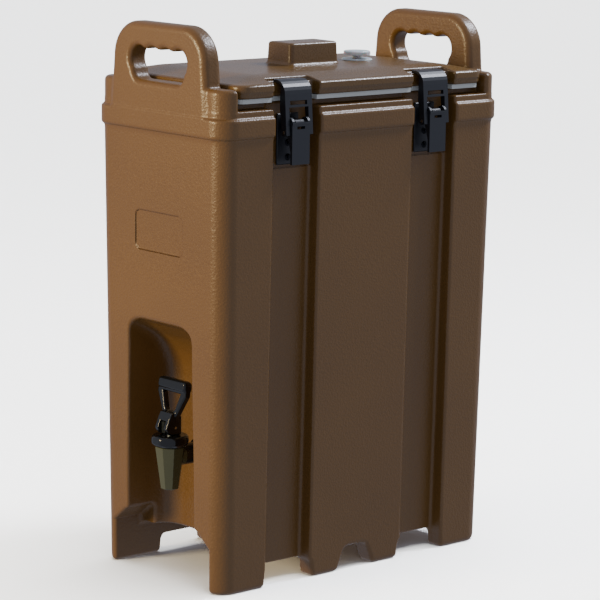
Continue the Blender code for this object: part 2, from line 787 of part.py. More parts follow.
def vent():
    top = PLATEAU_TOP + GAP
    seat_profile = [
        (6.5, top + 1.6),
        (17, top + 1.6),
        (17.8, top),
        (VENT_HOLE - GAP, top),
        (VENT_HOLE - GAP, PLUG_BOTTOM - 1),
        (4.6, PLUG_BOTTOM - 1),
        (4.6, top - 3),
        (6.5, top - 3),
    ]
    turned("vent_seat", seat_profile, NATURAL, (0, VENT_Y, 0))

    ring_r = 1.05
    ring_middle = 5.1
    ring_z = top - 3 + ring_r + GAP
    ring_profile = [
        (ring_middle + ring_r * math.sin(turn), ring_z + ring_r * math.cos(turn))
        for turn in [math.tau * k / 8 for k in range(8)]
    ]
    turned("vent_o_ring", ring_profile, SEAL_GREY, (0, VENT_Y, 0), steps=20)

    low, high = VENT_CAP_Z
    cap_profile = [(0, high), (VENT_CAP_R - 1, high), (VENT_CAP_R, high - 1), (VENT_CAP_R, low), (0, low)]
    cap = turned("vent_cap", cap_profile, NATURAL, (0, VENT_Y, 0))
    lug = block("vent_lug", (-4, -4, top + 1.9), (4, 4, low + 1), NATURAL, 1, 2)
    lug.location.y = VENT_Y * MM
    stem = rod("vent_stem", 3.7, PLUG_BOTTOM + 6, low + 1, (0, VENT_Y), "Z", NATURAL)
    tab_end = VENT_CAP_R + 3.5
    tab = block("vent_tab", (VENT_CAP_R - 3, -3.5, low + 0.6), (tab_end, 3.5, high - 0.6), NATURAL, 1.5, 2)
    tab.location.y = VENT_Y * MM
    join(cap, lug, stem, tab)
    return cap


# ---- tap ----


def tap_body():
    low, high = SPOUT_Z
    bm = bmesh.new()
    to_corner = 1 / math.cos(math.pi / 8)
    bmesh.ops.create_cone(
        bm,
        cap_ends=True,
        segments=8,
        radius1=SPOUT_FLATS[0] / 2 * to_corner * MM,
        radius2=SPOUT_FLATS[1] / 2 * to_corner * MM,
        depth=(high - low) * MM,
    )
    bmesh.ops.rotate(bm, verts=bm.verts, matrix=Matrix.Rotation(math.pi / 8, 3, "Z"))
    bmesh.ops.translate(bm, verts=bm.verts, vec=(0, TAP_Y * MM, (low + high) / 2 * MM))
    round_edges(bm, is_upright, 2, 2)
    body = from_bmesh("tap_body", bm, TAP_BLACK)

    join(body, rod("tap_neck", 13, high - 3, high + 6, (0, TAP_Y), "Z", TAP_BLACK, 32))
    shoulder = WELL_BACK - 3.3
    shank_profile = [
        (0, SHANK_END),
        (SHANK_R - 1, SHANK_END),
        (SHANK_R, SHANK_END - 1),
        (SHANK_R, shoulder),
        (14, shoulder),
        (15, shoulder - 1),
        (15, shoulder - 5),
        (14, shoulder - 6),
        (11.8, shoulder - 6),
        (11.8, TAP_Y + 5),
        (0, TAP_Y + 5),
    ]
    join(body, turned("tap_shank", shank_profile, TAP_BLACK, (0, 0, SHANK_Z), "Y"))

    bore = [(0, high + 20), (10.2, high + 20), (10.2, 124), (7.5, 119), (7.5, low - 5), (0, low - 5)]
    cut(body, turned("tap_bore", bore, TAP_BLACK, (0, TAP_Y, 0)))
    cut(body, rod("shank_bore", 7, TAP_Y, SHANK_END + 5, (0, SHANK_Z), "Y", TAP_BLACK))
    return body


def tap_bonnet():
    low, high = BONNET_Z
    profile = [
        (3.4, high),
        (18.5, high),
        (BONNET_R, high - 3),
        (BONNET_R, low + 4.5),
        (BONNET_R - 2.5, low),
        (13.3, low),
        (13.3, low + 6.3),
        (8, low + 6.3),
        (8, low + 9),
        (3.4, low + 9),
    ]
    return turned("tap_bonnet", profile, TAP_BLACK, (0, TAP_Y, 0), steps=32)


def cam_outline():
    """The handle's foot seen from the side, as (Y, Z) about its pin. Its front lower side is a cam that
    lifts the stem by CAM_RISE for each radian that the handle tips forward."""
    rest = TAP_PIN_Z - BONNET_Z[1] - GAP
    points = [(8.0, -rest + 2), (7.0, -rest)]
    steps = 12
    for k in range(steps + 1):
        angle = TAP_SWING * k / steps
        support = rest + CAM_RISE * angle
        down = Vector((-math.sin(angle), -math.cos(angle)))
        along = Vector((-math.cos(angle), math.sin(angle)))
        points.append(tuple(down * support + along * CAM_RISE))
    points += [(-9.0, 11.0), (-6.0, 17.0), (6.0, 17.0), (8.0, 12.0)]
    return [(TAP_Y + y, TAP_PIN_Z + z) for y, z in points]


def tap_handle():
    foot = extruded("tap_handle", [cam_outline()], "YZ", -10.5, 10.5, TAP_BLACK)
    right_side = [(10.5, 8, 4), (25, 38, 3), (24.5, 54, 7)]
    left_side = [(-24.5, 54, 7), (-25, 38, 3), (-10.5, 8, 4)]
    outer = rounded(right_side + left_side, steps=3)
    inner = rounded([(-16, 40, 4), (-8, 16, 8), (8, 16, 8), (16, 40, 4)], steps=3)
    loop = extruded("handle_loop", [outer, inner], "XZ", -4, 4, TAP_BLACK)
    bevel_modifier(loop, 1.6, 2)
    bar = block("handle_bar", (-24, -6, 41), (24, 6, 53.5), TAP_BLACK)
    bevel_modifier(bar, 4, 3)
    for piece in (loop, bar):
        piece.location = (0, TAP_Y * MM, TAP_PIN_Z * MM)
        piece.rotation_euler = (-TAP_LEAN, 0, 0)
    join(foot, loop, bar)
    # The slot that the stem stands in, and the hole for the pin that joins them.
    cut(foot, block("stem_slot", (-5, TAP_Y - 20, 150), (5, TAP_Y + 20, TAP_PIN_Z + 8), TAP_BLACK))
    cut(foot, rod("handle_pin_hole", 1.8, -20, 20, (TAP_Y, TAP_PIN_Z), "X", TAP_BLACK, 16))
    return set_origin(foot, (0, TAP_Y, TAP_PIN_Z))


def tap_stem():
    profile = [
        (0, TAP_PIN_Z + 4),
        (2.4, TAP_PIN_Z + 4),
        (3.0, TAP_PIN_Z + 3.4),
        (3.0, 137),
        (5.5, 137),
        (5.5, 135.3),
        (3.0, 135.3),
        (3.0, 124),
        (0, 124),
    ]
    stem = turned("tap_stem", profile, NATURAL, (0, TAP_Y, 0), steps=24)
    return cut(stem, rod("stem_pin_hole", 1.5 + GAP, -10, 10, (TAP_Y, TAP_PIN_Z), "X", NATURAL, 16))


def tap_insides():
    outside = [(9.3, 135), (9.6, 133), (9.6, 124.6), (7.0, 120.4), (0, 119.9)]
    inside = [(0, 123.7), (3.3, 123.7), (3.3, 135)]
    turned("tap_seat_cup", outside + inside, SILICONE, (0, TAP_Y, 0))

    coil = bpy.data.curves.new("tap_spring", "CURVE")
    coil.dimensions = "3D"
    coil.bevel_depth = 0.55 * MM
    coil.bevel_resolution = 0
    coil.use_fill_caps = True
    turns = 5
    per_turn = 12
    coil_r = 5.0
    low, high = 138.2, 158.2
    spline = coil.splines.new("POLY")
    spline.points.add(turns * per_turn)
    for k, point in enumerate(spline.points):
        share = k / (turns * per_turn)
        angle = math.tau * turns * share
        height = low + (high - low) * share
        place = Vector((coil_r * math.cos(angle), coil_r * math.sin(angle), height)) * MM
        point.co = (*place, 1)
    spring = bpy.data.objects.new("tap_spring", coil)
    coil.materials.append(STEEL)
    PARTS.objects.link(spring)
    spring.location = (0, TAP_Y * MM, 0)

    rod("tap_handle_pin", 1.5, -10.2, 10.2, (TAP_Y, TAP_PIN_Z), "X", STEEL, 16)
    washer = [(SHANK_R + GAP, 2.6), (15.5, 2.6), (16, 2), (16, 0), (SHANK_R + GAP, 0)]
    turned("tap_washer_outer", washer, SEAL_GREY, (0, WELL_BACK - 2.9, SHANK_Z), "Y")
    turned("tap_washer_inner", washer, SEAL_GREY, (0, TANK_LOWER_Y + GAP, SHANK_Z), "Y")
    nut_low = TANK_LOWER_Y + GAP + 2.6 + GAP
    bm = bmesh.new()
    bmesh.ops.create_cone(bm, cap_ends=True, segments=6, radius1=17 * MM, radius2=17 * MM, depth=8 * MM)
    nut_place = Matrix.Translation(Vector((0, nut_low + 4, SHANK_Z)) * MM)
    bmesh.ops.transform(bm, matrix=nut_place @ Matrix.Rotation(math.radians(90), 4, "X"), verts=bm.verts)
    nut = bevel_modifier(from_bmesh("tap_locknut", bm, BLACK), 0.8, 1)
    cut(nut, rod("nut_hole", SHANK_R + GAP, -130, -80, (0, SHANK_Z), "Y", BLACK, 32))


# ---- latches ----


def arc(centre, radius, start, end, steps):
    """Points on an arc, from one angle to another in degrees."""
    points = []
    for k in range(steps + 1):
        angle = math.radians(start + (end - start) * k / steps)
        points.append((centre[0] + radius * math.cos(angle), centre[1] + radius * math.sin(angle)))
    return points


def bracket_shape():
    """The plate on the groove's floor, with a lug that stands out to the lever's pivot."""
    plate_back = POCKET_FLOOR + GAP
    plate = block("bracket_shape", (plate_back, -15, 470), (plate_back + PLATE_THICK, 15, 526), BLACK)
    bevel_modifier(plate, 0.8, 1)
    back = POCKET_FLOOR + 2
    outline = [(back, 503), (back, PIVOT[1] + LUG_R)] + arc(PIVOT, LUG_R, 90, -60, 6)
    lug = extruded("bracket_lug", [outline], "XZ", -6, 6, BLACK)
    join(plate, lug)
    cut(plate, rod("bracket_pin_hole", LATCH_PIN_R + GAP, -20, 20, PIVOT, "Y", BLACK, 16))
    for z in RIVET_Z:
        cut(plate, rod(f"bracket_rivet_hole_{z:.0f}", RIVET_R + GAP, 80, 110, (0, z), "X", BLACK, 12))
    return settle(plate)


def lever_shape():
    """The lever: a web with two cheeks that turn on the pivot and carry the strap's pin."""
    front_angle = -math.degrees(math.acos((LEVER_FACE - PIVOT[0]) / KNUCKLE_R))
    outline = arc(PIVOT, KNUCKLE_R, front_angle, 170, 8) + arc(STRAP_PIN, 4.4, 180, 250, 3)
    web = LEVER_FACE - 3
    outline += [(web, 486), (web, LEVER_FOOT), (LEVER_FACE, LEVER_FOOT)]
    lever = extruded("lever_shape", [outline], "XZ", -LEVER_HALF, LEVER_HALF, BLACK)
    # Between the cheeks only the web and the front of the knuckle stay, so that the lug has room to turn.
    inner = LEVER_HALF - 3
    clear = LUG_R + 0.6
    hollow = [(95, 486), (web, 484), (web, 511)] + arc(PIVOT, clear, -50, KNUCKLE_END, 4)
    hollow += arc(PIVOT, 20, KNUCKLE_END, 90, 1) + [(95, 537)]
    cut(lever, extruded("lever_hollow", [hollow], "XZ", -inner, inner, BLACK))
    cut(lever, block("lever_slot", (105, -5.5, 510.5), (125, 5.5, 513.5), BLACK))
    cut(lever, rod("lever_pin_hole", LATCH_PIN_R + GAP, -20, 20, PIVOT, "Y", BLACK, 16))
    cut(lever, rod("strap_pin_hole", LATCH_PIN_R + GAP, -30, 30, STRAP_PIN, "Y", BLACK, 16))
    return set_origin(settle(lever), (PIVOT[0], 0, PIVOT[1]))


def strap_shape():
    """The draw strap: a channel with two arms on the strap pin, two windows, and a hook that lies
    over the lid's edge."""
    bend_centre = (STRAP_FACE - FLANGE_BEND, FLANGE_Z[1] - FLANGE_BEND)
    inner_bend = FLANGE_BEND - STRAP_THICK
    front_foot = (STRAP_PIN[0] + 4.6, STRAP_PIN[1] - 3)
    front = [front_foot] + arc(bend_centre, FLANGE_BEND, 0, 90, 6)
    hook = [(FLANGE_TIP, FLANGE_Z[1]), (FLANGE_TIP, FLANGE_Z[0])] + arc(bend_centre, inner_bend, 90, 45, 3)
    back = STRAP_FACE - STRAP_DEPTH
    side = [(back, 544), (back, 530), (STRAP_PIN[0] - 4, STRAP_PIN[1] + 5)]
    foot = arc(STRAP_PIN, 4.2, 180, 270, 4)
    strap = extruded("strap_shape", [front + hook + side + foot], "XZ", -STRAP_HALF, STRAP_HALF, BLACK)

    wall = 2.6
    below = STRAP_PIN[1] - 20
    hollow = [(front_foot[0] - STRAP_THICK, below)] + arc(bend_centre, inner_bend - 0.02, 0, 60, 4)
    hollow += [(95, 550), (95, below)]
    cut(strap, extruded("strap_hollow", [hollow], "XZ", -STRAP_HALF + wall, STRAP_HALF - wall, BLACK))
    for side_sign in (-1, 1):
        y = sorted((side_sign * (STRAP_WINDOW_HALF + 0.4), side_sign * (STRAP_HALF - 1)))
        join(strap, rod(f"strap_boss_{side_sign}", 4, y[0], y[1], STRAP_PIN, "Y", BLACK, 20))
    window_half = STRAP_WINDOW_HALF
    cut(strap, block("strap_window", (100, -window_half, 490), (125, window_half, STRAP_WINDOW_TOP), BLACK))
    cut(strap, block("strap_slot", (100, -12, 536.5), (125, 12, 541), BLACK))
    cut(strap, rod("strap_hole", LATCH_PIN_R + GAP, -30, 30, STRAP_PIN, "Y", BLACK, 16))
    return set_origin(settle(strap), (STRAP_PIN[0], 0, STRAP_PIN[1]))


def rivet_shape():
    """A rivet whose head lies on the bracket's plate and whose shank enters the body's wall."""
    face = POCKET_FLOOR + GAP + PLATE_THICK + GAP
    end = POCKET_FLOOR - 2.5
    profile = [(0, face + 1.6), (2.4, face + 1.3), (4, face), (RIVET_R, face), (RIVET_R, end), (0, end)]
    return settle(turned("rivet_shape", profile, STEEL, steps=12, axis="X"))


def latches():
    """Four latches that share one set of meshes. The left ones are the right ones turned half round."""
    pivot = (PIVOT[0], 0, PIVOT[1])
    strap_pin = (STRAP_PIN[0], 0, STRAP_PIN[1])
    lever_pin_shape = rod("lever_pin_shape", LATCH_PIN_R, -12.2, 12.2, PIVOT, "Y", STEEL, 16)
    strap_pin_shape = rod("strap_pin_shape", LATCH_PIN_R, -18.8, 18.8, STRAP_PIN, "Y", STEEL, 16)
    rivet = rivet_shape()
    shapes = {
        "bracket": (bracket_shape(), (0, 0, 0)),
        "lever": (lever_shape(), pivot),
        "strap": (strap_shape(), strap_pin),
        "lever_pin": (lever_pin_shape, (0, 0, 0)),
        "strap_pin": (strap_pin_shape, (0, 0, 0)),
        "rivet_lower": (rivet, (0, 0, RIVET_Z[0])),
        "rivet_upper": (rivet, (0, 0, RIVET_Z[1])),
    }
    for side in (-1, 1):
        for y in (-GROOVE_Y, GROOVE_Y):
            place = f"{'left' if side < 0 else 'right'}_{'front' if y < 0 else 'rear'}"
            frame = bpy.data.objects.new(f"latch_frame_{place}", None)
            PARTS.objects.link(frame)
            frame.location = (0, y * MM, 0)
            frame.rotation_euler = (0, 0, 0 if side > 0 else math.pi)
            for kind, (shape, at) in shapes.items():
                copy = bpy.data.objects.new(f"latch_{place}_{kind}", shape.data)
                PARTS.objects.link(copy)
                copy.parent = frame
                copy.location = Vector(at) * MM
                copy.rotation_euler = shape.rotation_euler
    for shape in {shape for shape, at in shapes.values()}:
        bpy.data.objects.remove(shape, do_unlink=True)


body_shell()
foam_space("body_foam", GAP, FOAM)
fill_plug("body_fill_plug", (0, BODY_PORT_Y, CHANNEL_TOP), BASE_TOP - CHANNEL_TOP - GAP, BLACK)
lid_shell()
lid_space("lid_foam", GAP, FOAM)
fill_plug("lid_fill_plug", (0, LID_PORT_Y, PLUG_BOTTOM), SKIN - GAP, BLACK)
lid_gasket()
vent()
tap_body()
tap_bonnet()
tap_handle()
tap_stem()
tap_insides()
latches()
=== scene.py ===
# %% [markdown]
# # An insulated drinks carrier
#
# This lesson dresses a finished engineering model: a double-wall moulded carrier for hot or cold drinks,
# with a lift-off lid, four draw latches and a lever tap. The frame that is loaded first holds every part at
# its true size and place, and the joints that move them. The steps below add what the eye needs: soft
# moulded edges, grain in the plastic, a camera and a small studio.

# %% Load the frame
import math

import bpy
import numpy as np
from mathutils import Matrix, Vector


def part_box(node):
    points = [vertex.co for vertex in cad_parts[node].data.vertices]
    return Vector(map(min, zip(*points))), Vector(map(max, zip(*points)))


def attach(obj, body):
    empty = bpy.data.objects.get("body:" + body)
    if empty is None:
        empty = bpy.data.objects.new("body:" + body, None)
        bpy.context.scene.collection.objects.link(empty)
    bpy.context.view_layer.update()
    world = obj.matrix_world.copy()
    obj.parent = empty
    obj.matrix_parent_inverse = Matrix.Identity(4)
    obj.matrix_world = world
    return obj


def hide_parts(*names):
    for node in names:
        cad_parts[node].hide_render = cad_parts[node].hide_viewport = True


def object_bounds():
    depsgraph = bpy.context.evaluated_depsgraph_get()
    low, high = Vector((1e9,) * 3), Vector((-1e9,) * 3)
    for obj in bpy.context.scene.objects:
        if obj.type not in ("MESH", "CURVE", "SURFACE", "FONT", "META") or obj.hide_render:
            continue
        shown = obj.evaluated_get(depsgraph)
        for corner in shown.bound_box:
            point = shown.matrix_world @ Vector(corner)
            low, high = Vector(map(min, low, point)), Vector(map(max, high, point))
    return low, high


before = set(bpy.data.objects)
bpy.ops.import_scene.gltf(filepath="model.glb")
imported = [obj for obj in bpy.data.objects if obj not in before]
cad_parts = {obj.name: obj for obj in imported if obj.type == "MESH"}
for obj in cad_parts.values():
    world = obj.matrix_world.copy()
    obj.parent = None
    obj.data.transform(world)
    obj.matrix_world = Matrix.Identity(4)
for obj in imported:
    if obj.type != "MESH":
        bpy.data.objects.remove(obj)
cad_low, cad_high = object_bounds()
size = cad_high - cad_low
print(f"the carrier is {size.x:.3f} x {size.y:.3f} x {size.z:.3f} m, in {len(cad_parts)} nodes")

# %% [markdown]
# ## Camera
#
# A long lens from about three metres keeps the upright edges nearly parallel, as suits tall goods. The
# camera stands off the front corner, a little above the lid, and rolls by one degree. It is placed by an
# angle round the carrier, an angle above the floor and a distance, which are easier to judge than
# coordinates. The lens shift slides the view without turning the camera.

# %% Camera
CAMERA_TURN = math.radians(48.03)
CAMERA_RISE = math.radians(11.51)
CAMERA_ROLL = math.radians(1.05)
CAMERA_DISTANCE = 3.067
AIM_HEIGHT = 0.2289
AIM_SIDEWAYS = 0.0547
LENS_MM = 159.1
LENS_SHIFT = (-0.0755, 0.0953)


def aimed_camera():
    """The camera's matrix, from the angles and the distance above."""
    backward = Vector((
        math.sin(CAMERA_TURN) * math.cos(CAMERA_RISE),
        -math.cos(CAMERA_TURN) * math.cos(CAMERA_RISE),
        math.sin(CAMERA_RISE),
    ))
    sideways = Vector((math.cos(CAMERA_TURN), math.sin(CAMERA_TURN), 0))
    upward = backward.cross(sideways)
    target = Vector((0, 0, AIM_HEIGHT)) + sideways * AIM_SIDEWAYS
    rolled_side = sideways * math.cos(CAMERA_ROLL) + upward * math.sin(CAMERA_ROLL)
    rolled_up = upward * math.cos(CAMERA_ROLL) - sideways * math.sin(CAMERA_ROLL)
    turn = Matrix((rolled_side, rolled_up, backward)).transposed().to_4x4()
    return Matrix.Translation(target + backward * CAMERA_DISTANCE) @ turn


camera = bpy.data.objects.new("camera", bpy.data.cameras.new("camera"))
camera.data.lens = LENS_MM
camera.data.shift_x, camera.data.shift_y = LENS_SHIFT
camera.matrix_world = aimed_camera()
bpy.context.scene.collection.objects.link(camera)
bpy.context.scene.camera = camera
print("camera at", [round(value, 2) for value in camera.location])

# %% [markdown]
# ## Colours and nodes
#
# Colours are written as the hex values that a paint program shows. Blender's shaders want linear light, so
# one function turns every hex value. A second small function adds a node, sets its sockets and makes its
# links, so that each material below reads as a list of what it is made of.

# %% Helpers for materials
def hex_colour(code):
    """A linear RGBA colour from an sRGB hex code such as 8a6535."""
    channels = [int(code[i : i + 2], 16) / 255 for i in (0, 2, 4)]
    linear = [c / 12.92 if c <= 0.04045 else ((c + 0.055) / 1.055) ** 2.4 for c in channels]
    return (*linear, 1.0)


def add_node(tree, kind, settings=None, **inputs):
    """One node. Settings are its own properties; inputs are values, or output sockets to link."""
    node = tree.nodes.new(kind)
    for name, value in (settings or {}).items():
        setattr(node, name, value)
    for name, value in inputs.items():
        socket = node.inputs[int(name[1:])] if name[0] == "_" else node.inputs[name.replace("_", " ")]
        if isinstance(value, bpy.types.NodeSocket):
            tree.links.new(value, socket)
        else:
            socket.default_value = value
    return node


def start_material(name, **shader_values):
    """A material with an empty Principled shader, and the tree, shader and place coordinates to build on."""
    material = bpy.data.materials.new(name)
    material.use_nodes = True
    tree = material.node_tree
    shader = tree.nodes["Principled BSDF"]
    for socket, value in shader_values.items():
        shader.inputs[socket.replace("_", " ")].default_value = value
    place = add_node(tree, "ShaderNodeTexCoord").outputs["Object"]
    return material, tree, shader, place


def grain_scale(size_mm):
    """The Scale of a noise or Voronoi pattern whose bumps are this far apart."""
    return 1000.0 / size_mm


# %% [markdown]
# ## Rotomoulded polyethylene
#
# The body and the lid are rotationally moulded polyethylene: powder melts against the inside of a turning
# steel mould, so the outside takes the mould's sandblasted, pebbled face. The eye reads it as a satin skin
# whose highlights break into sparkling specks, over a brown that is not quite even. Two grains are used, a
# coarse pebble and a finer one, with a slow drift in the colour and in the gloss. Polyethylene's index of
# refraction is 1.51.

# %% Brown polyethylene
PEBBLE_MM = 2.4
FINE_GRAIN_MM = 1.1
COLOUR_DRIFT_MM = 160.0
GLOSS_SWING = 0.07


def polyethylene(name, light, dark, roughness, pebble_depth):
    """Pebbled satin: the specks swing the gloss by a little, so that a highlight breaks up into sparkle."""
    material, tree, shader, place = start_material(name, IOR=1.51)
    drift = add_node(
        tree, "ShaderNodeTexNoise", Vector=place, Scale=grain_scale(COLOUR_DRIFT_MM), Detail=3.0
    ).outputs["Fac"]
    specks = add_node(
        tree, "ShaderNodeTexNoise", Vector=place, Scale=grain_scale(FINE_GRAIN_MM), Detail=1.0
    ).outputs["Fac"]
    colour = add_node(
        tree, "ShaderNodeMix", {"data_type": "RGBA"}, _0=drift, _6=hex_colour(dark), _7=hex_colour(light)
    ).outputs[2]
    speckled = add_node(
        tree,
        "ShaderNodeMix",
        {"data_type": "RGBA", "blend_type": "OVERLAY"},
        _0=0.10,
        _6=colour,
        _7=add_node(tree, "ShaderNodeMapRange", Value=specks, _1=0.3, _2=0.7).outputs[0],
    ).outputs[2]
    tree.links.new(speckled, shader.inputs["Base Color"])
    smooth, rough = roughness - GLOSS_SWING, roughness + GLOSS_SWING
    gloss = add_node(
        tree, "ShaderNodeMapRange", Value=specks, _1=0.3, _2=0.7, _3=smooth, _4=rough
    ).outputs[0]
    tree.links.new(gloss, shader.inputs["Roughness"])
    pebble = add_node(
        tree, "ShaderNodeTexVoronoi", {"feature": "SMOOTH_F1"}, Vector=place, Scale=grain_scale(PEBBLE_MM)
    ).outputs["Distance"]
    heights = add_node(tree, "ShaderNodeMath", {"operation": "MULTIPLY_ADD"}, _0=specks, _1=0.6, _2=pebble)
    bump = add_node(
        tree, "ShaderNodeBump", Strength=1.0, Distance=pebble_depth / 1000, Height=heights.outputs[0]
    )
    tree.links.new(bump.outputs["Normal"], shader.inputs["Normal"])
    return material


body_plastic = polyethylene("brown_rotomoulded_polyethylene", "6f4f22", "5f421d", 0.36, 0.24)
lid_plastic = polyethylene("brown_rotomoulded_polyethylene_lid", "694c22", "58401e", 0.30, 0.16)
print("made", body_plastic.name, "and", lid_plastic.name)

# %% [markdown]
# ## Moulded nylon, tap plastic and the small parts
#
# The latches are injection-moulded nylon with glass in it: near black, satin, with a very fine grain from
# the mould. The tap is a smoother plastic, almost polished, and its spout is given an olive colour, a painted
# reflection of the brown recess in its glossy plastic. The gasket is a soft grey rubber, and the vent is
# unpigmented plastic that lets a little light in. The pins are drawn stainless steel, finely streaked, and
# the rivets are the same steel coloured near black, a painted shade for the shadow beside the latch lever.
# The foam is hidden inside the walls, and has a finish of its own in case a wall is cut open. Nylon's index
# of refraction is 1.53 and acrylic's is 1.49. After its roughness, each finish names its grain's spacing and
# depth in millimetres.

# %% Small-part materials
PART_DRIFT_MM = 25.0
DRIFT_DARKENS = 0.82
STREAK_MM = 0.5


def moulded(name, colour, roughness, grain_mm, depth_mm, **shader_values):
    """A plain moulded finish: one colour with a slight drift, and a fine grain in the surface."""
    material, tree, shader, place = start_material(name, **shader_values)
    base = hex_colour(colour)
    drift = add_node(
        tree, "ShaderNodeTexNoise", Vector=place, Scale=grain_scale(PART_DRIFT_MM), Detail=2.0
    ).outputs["Fac"]
    darker = tuple(DRIFT_DARKENS * channel for channel in base[:3]) + (1.0,)
    tint = add_node(tree, "ShaderNodeMix", {"data_type": "RGBA"}, _0=drift, _6=darker, _7=base).outputs[2]
    tree.links.new(tint, shader.inputs["Base Color"])
    grain = add_node(
        tree, "ShaderNodeTexNoise", Vector=place, Scale=grain_scale(grain_mm), Detail=2.0
    ).outputs["Fac"]
    gloss = add_node(
        tree, "ShaderNodeMapRange", Value=grain, _1=0.3, _2=0.7, _3=roughness * 0.85, _4=roughness * 1.15
    ).outputs[0]
    tree.links.new(gloss, shader.inputs["Roughness"])
    bump = add_node(tree, "ShaderNodeBump", Strength=1.0, Distance=depth_mm / 1000, Height=grain)
    tree.links.new(bump.outputs["Normal"], shader.inputs["Normal"])
    return material


latch_nylon = moulded("black_glass_filled_nylon", "1b1d21", 0.38, 0.9, 0.02, IOR=1.53)
tap_plastic = moulded("black_polished_tap_plastic", "101213", 0.17, 3.0, 0.01, IOR=1.49)
# The spout's olive colour is a painted reflection of the brown recess in its glossy plastic.
spout_painted_reflection_plastic = moulded("tap_plastic_painted_olive_reflection", "4a4c30", 0.24, 3.0, 0.01, IOR=1.49)
gasket_rubber = moulded("grey_gasket_rubber", "cfd1c8", 0.55, 1.2, 0.03)
vent_plastic = moulded("natural_vent_plastic", "dfe5e4", 0.30, 1.5, 0.02, Subsurface_Weight=0.15)
silicone = moulded("clear_silicone", "d8d8d2", 0.45, 1.0, 0.01, Subsurface_Weight=0.2)
foam = moulded("urethane_foam", "d9c894", 0.9, 1.6, 0.4)


def drawn_steel(name, dark, light):
    """Wire and rivets: a metal streaked along its length by the die."""
    material, tree, shader, place = start_material(name, Metallic=1.0)
    stretched = add_node(tree, "ShaderNodeMapping", Vector=place, Scale=(1.0, 0.08, 1.0)).outputs[0]
    streak = add_node(
        tree, "ShaderNodeTexNoise", Vector=stretched, Scale=grain_scale(STREAK_MM), Detail=2.0
    ).outputs["Fac"]
    tint = add_node(
        tree, "ShaderNodeMix", {"data_type": "RGBA"}, _0=streak, _6=hex_colour(dark), _7=hex_colour(light)
    ).outputs[2]
    tree.links.new(tint, shader.inputs["Base Color"])
    gloss = add_node(tree, "ShaderNodeMapRange", Value=streak, _1=0.3, _2=0.7, _3=0.22, _4=0.38).outputs[0]
    tree.links.new(gloss, shader.inputs["Roughness"])
    return material


steel = drawn_steel("drawn_stainless_steel", "9b9c9e", "c9cacb")
# The rivets' near-black colour is painted shade, standing in for the shadow beside the latch lever.
rivet_steel_painted_dark = drawn_steel("rivet_steel_painted_shade", "17181a", "232427")
print("made", len(bpy.data.materials), "materials")

# %% [markdown]
# ## Soft moulded shapes from distances
#
# A rotomoulded part has no sharp edge anywhere: every corner, rib and hollow flows into the next. One good
# way to get that is to describe the part by a distance field: a function that says how far any point is
# from the skin, negative inside. Boxes, slots and holes are one line each, and joining or cutting them with
# a radius gives true fillets. The skin is then found with surface nets: a grid of points is tested, each
# grid cell that the skin crosses gets one vertex, and neighbouring vertices are joined by quads. Last, each
# vertex slides along the field's slope until it sits exactly on the skin.

# %% Distance functions, in millimetres
def rounded_rectangle(u, v, half_u, half_v, corner):
    """Distance to a rounded rectangle centred on the origin of a plane."""
    du = np.abs(u) - half_u + corner
    dv = np.abs(v) - half_v + corner
    return np.hypot(np.maximum(du, 0), np.maximum(dv, 0)) + np.minimum(np.maximum(du, dv), 0) - corner


def both(a, b, radius=0.0):
    """Where two shapes overlap, with the edge between them rounded."""
    if not radius:
        return np.maximum(a, b)
    return np.minimum(-radius, np.maximum(a, b)) + np.hypot(
        np.maximum(a + radius, 0), np.maximum(b + radius, 0)
    )


def either(a, b, radius=0.0):
    """Two shapes joined, with a fillet of this radius in the corner between them."""
    return -both(-a, -b, radius)


def without(a, b, radius=0.0):
    """The first shape with the second cut away."""
    return both(a, -b, radius)


def between(w, low, high):
    """Distance to a slab between two levels."""
    return np.abs(w - (low + high) / 2) - (high - low) / 2


# %% Surface nets
LEVELS_AT_ONCE = 24
SLIDES = 3
CORNERS = np.array([(i, j, k) for i in (0, 1) for j in (0, 1) for k in (0, 1)])
CELL_EDGES = [
    (a, b) for a in range(8) for b in range(a + 1, 8) if np.abs(CORNERS[a] - CORNERS[b]).sum() == 1
]


def slope(shape, points, reach=0.05):
    """The direction in which the distance grows, at each point."""
    parts = []
    for axis in range(3):
        nudge = np.zeros(3)
        nudge[axis] = reach
        ahead = shape(*(points + nudge).T)
        behind = shape(*(points - nudge).T)
        parts.append(ahead - behind)
    field = np.stack(parts, axis=1)
    return field / np.maximum(np.linalg.norm(field, axis=1, keepdims=True), 1e-9)


